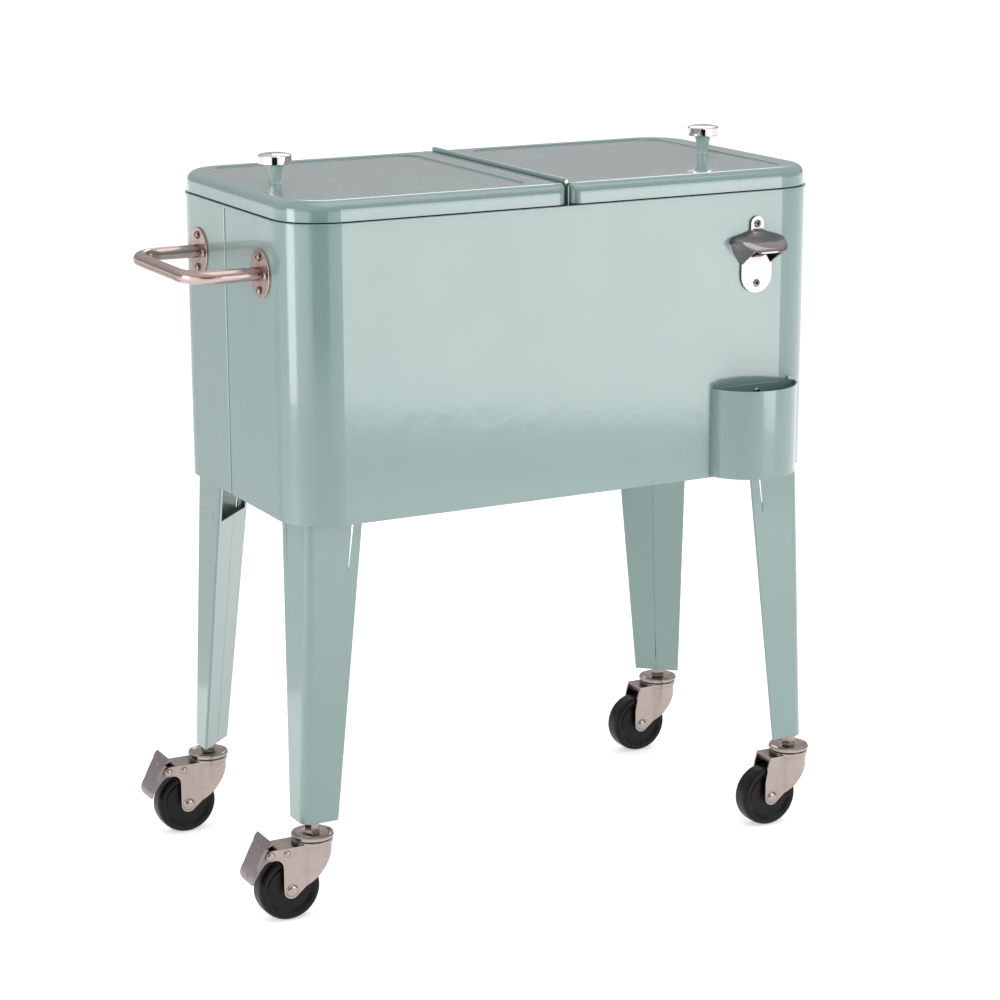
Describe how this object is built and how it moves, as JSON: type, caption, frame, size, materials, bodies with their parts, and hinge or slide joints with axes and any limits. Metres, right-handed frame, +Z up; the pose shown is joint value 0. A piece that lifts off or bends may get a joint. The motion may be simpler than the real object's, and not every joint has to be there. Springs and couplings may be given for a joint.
{
  "type": "rolling patio cooler",
  "caption": "Insulated rectangular tub on tapered legs with swivel castors, flip lids on a middle hinge, an end handle, bottle opener and cap catcher.",
  "frame": {"origin": "middle of the bounding box in X and Y, on the floor under the wheels in Z", "axes": "+X along the tub towards the opener end, +Y towards the back, +Z up; the opener and the cap bin are on the -Y side"},
  "size_m": [0.8264, 0.4252, 0.8889],
  "materials": {
    "mint_paint": "glossy powder coat",
    "lid_paint": "glossy powder coat",
    "zinc": "bright zinc plate",
    "chrome": "polished",
    "nickel": "satin nickel",
    "knob_stem": "glossy",
    "bronze": "satin metallic",
    "bronze_screw": "satin metallic",
    "liner": "smooth",
    "foam": "matte cellular",
    "seal": "soft",
    "pan": "galvanised",
    "wheel": "satin black",
    "drain": "satin"
  },
  "bodies": {
    "tub": {"bin_screws": "zinc", "bottle_opener": "nickel", "castor_balls": "zinc", "castor_bl_stem": "zinc", "castor_br_stem": "zinc", "castor_fl_stem": "zinc", "castor_fr_stem": "zinc", "centre_bar": "lid_paint", "drain_nut": "drain", "drain_spout": "drain", "foot_nuts": "zinc", "handle_left": "bronze", "handle_screws": "bronze_screw", "hinge_pin": "zinc", "leg_bl": "mint_paint", "leg_bolts": "zinc", "leg_br": "mint_paint", "leg_fl": "mint_paint", "leg_fr": "mint_paint", "opener_screws": "nickel", "tub_base_pan": "pan", "tub_foam": "foam", "tub_liner": "liner", "tub_rim": "lid_paint", "tub_skin": "mint_paint"},
    "lid_left": {"lid_left_skin": "lid_paint", "lid_left_tray": "liner", "lid_left_foam": "foam", "lid_left_seal": "seal", "hinge_leaf_left": "lid_paint", "knob_left_stem": "knob_stem", "knob_left_cap": "chrome", "knob_left_screw": "zinc"},
    "lid_right": {"lid_right_skin": "lid_paint", "lid_right_tray": "liner", "lid_right_foam": "foam", "lid_right_seal": "seal", "hinge_leaf_right": "lid_paint", "knob_right_stem": "knob_stem", "knob_right_cap": "chrome", "knob_right_screw": "zinc"},
    "fork_fl": {"castor_fl_fork": "zinc", "castor_fl_axle": "zinc", "brake_fl_rivets": "zinc"},
    "wheel_fl": {"castor_fl_wheel": "wheel"},
    "fork_fr": {"castor_fr_fork": "zinc", "castor_fr_axle": "zinc"},
    "wheel_fr": {"castor_fr_wheel": "wheel"},
    "fork_bl": {"castor_bl_fork": "zinc", "castor_bl_axle": "zinc", "brake_bl_rivets": "zinc"},
    "wheel_bl": {"castor_bl_wheel": "wheel"},
    "fork_br": {"castor_br_fork": "zinc", "castor_br_axle": "zinc"},
    "wheel_br": {"castor_br_wheel": "wheel"},
    "pedal_fl": {"brake_fl_pedal": "zinc"},
    "pedal_bl": {"brake_bl_pedal": "zinc"},
    "cap_bin": {"cap_bin": "mint_paint"},
    "drain_cap": {"drain_cap": "drain"}
  },
  "joints": [
    {"name": "lid_left_hinge", "type": "hinge", "parent": "tub", "child": "lid_left", "pos_m": [0.03775, 0.02138, 0.8557], "axis": [0, 1, 0], "range_deg": [0, 80]},
    {"name": "lid_right_hinge", "type": "hinge", "parent": "tub", "child": "lid_right", "pos_m": [0.03775, 0.02138, 0.8557], "axis": [0, -1, 0], "range_deg": [0, 80]},
    {"name": "castor_fl_swivel", "type": "hinge", "parent": "tub", "child": "fork_fl", "pos_m": [-0.29955, -0.14413, 0.0927], "axis": [0, 0, 1], "continuous": true},
    {"name": "castor_fr_swivel", "type": "hinge", "parent": "tub", "child": "fork_fr", "pos_m": [0.37505, -0.14413, 0.0927], "axis": [0, 0, 1], "continuous": true},
    {"name": "castor_bl_swivel", "type": "hinge", "parent": "tub", "child": "fork_bl", "pos_m": [-0.29955, 0.18688, 0.0927], "axis": [0, 0, 1], "continuous": true},
    {"name": "castor_br_swivel", "type": "hinge", "parent": "tub", "child": "fork_br", "pos_m": [0.37505, 0.18688, 0.0927], "axis": [0, 0, 1], "continuous": true},
    {"name": "wheel_fl_spin", "type": "hinge", "parent": "fork_fl", "child": "wheel_fl", "pos_m": [-0.33425, -0.14413, 0.039], "axis": [0, 1, 0], "continuous": true},
    {"name": "wheel_fr_spin", "type": "hinge", "parent": "fork_fr", "child": "wheel_fr", "pos_m": [0.34035, -0.14413, 0.039], "axis": [0, 1, 0], "continuous": true},
    {"name": "wheel_bl_spin", "type": "hinge", "parent": "fork_bl", "child": "wheel_bl", "pos_m": [-0.33425, 0.18688, 0.039], "axis": [0, 1, 0], "continuous": true},
    {"name": "wheel_br_spin", "type": "hinge", "parent": "fork_br", "child": "wheel_br", "pos_m": [0.34035, 0.18688, 0.039], "axis": [0, 1, 0], "continuous": true},
    {"name": "brake_fl_press", "type": "hinge", "parent": "fork_fl", "child": "pedal_fl", "pos_m": [-0.36075, -0.14413, 0.0863], "axis": [0, -1, 0], "range_deg": [0, 13]},
    {"name": "brake_bl_press", "type": "hinge", "parent": "fork_bl", "child": "pedal_bl", "pos_m": [-0.36075, 0.18688, 0.0863], "axis": [0, -1, 0], "range_deg": [0, 13]},
    {"name": "cap_bin_lift", "type": "slide", "parent": "tub", "child": "cap_bin", "axis": [0, 0, 1], "range_m": [0, 0.012]},
    {"name": "drain_cap_pull", "type": "slide", "parent": "tub", "child": "drain_cap", "axis": [1, 0, 0], "range_m": [0, 0.012]}
  ]
}
